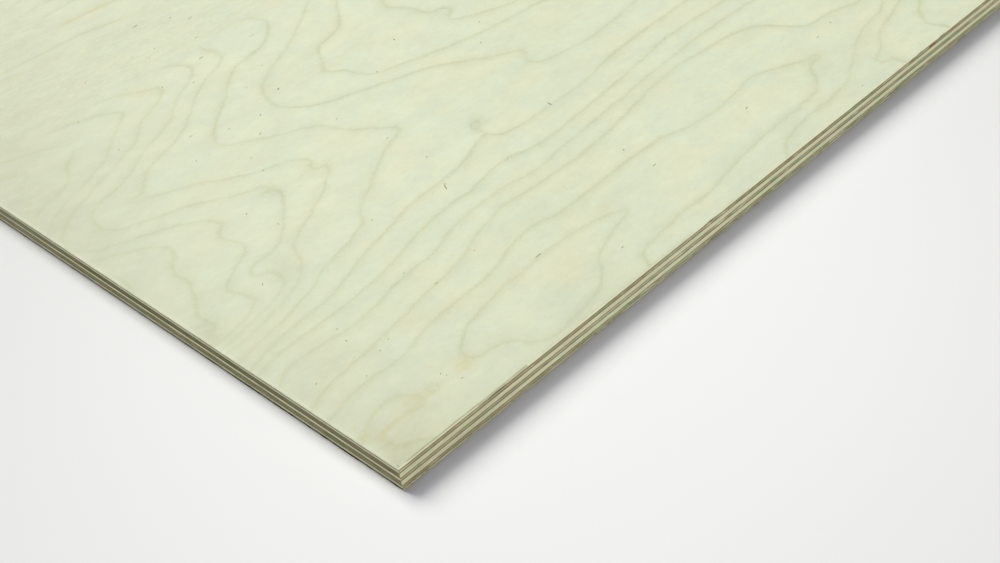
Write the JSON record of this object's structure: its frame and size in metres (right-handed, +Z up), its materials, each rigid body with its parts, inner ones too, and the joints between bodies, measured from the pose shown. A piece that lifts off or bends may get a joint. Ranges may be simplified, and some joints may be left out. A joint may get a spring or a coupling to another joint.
{
  "type": "plywood sheet",
  "caption": "Flat rectangular plywood sheet of crossed veneers, with pale birch faces and sawn edges that show the plies and dark glue lines.",
  "frame": {"origin": "centre of the underside, on the floor that the sheet lies on", "axes": "+X along the long side and the face grain, +Y along the short side, +Z up out of the top face"},
  "size_m": [2.44, 1.22, 0.012],
  "materials": {
    "face_birch": "bare sanded rotary-cut birch veneer, pale cream with faint growth-ring lines",
    "long_grain_birch": "bare sawn birch core ply, its grain along the sheet's length",
    "cross_grain_birch": "bare sawn birch crossband, its grain across the sheet",
    "glue": "cured brown phenolic glue film"
  },
  "bodies": {
    "root": {"face_veneer": "face_birch", "glue_line_1": "glue", "crossband_upper": "cross_grain_birch", "glue_line_2": "glue", "core_ply_upper": "long_grain_birch", "glue_line_3": "glue", "centre_crossband": "cross_grain_birch", "glue_line_4": "glue", "core_ply_lower": "long_grain_birch", "glue_line_5": "glue", "crossband_lower": "cross_grain_birch", "glue_line_6": "glue", "back_veneer": "face_birch"}
  },
  "joints": []
}
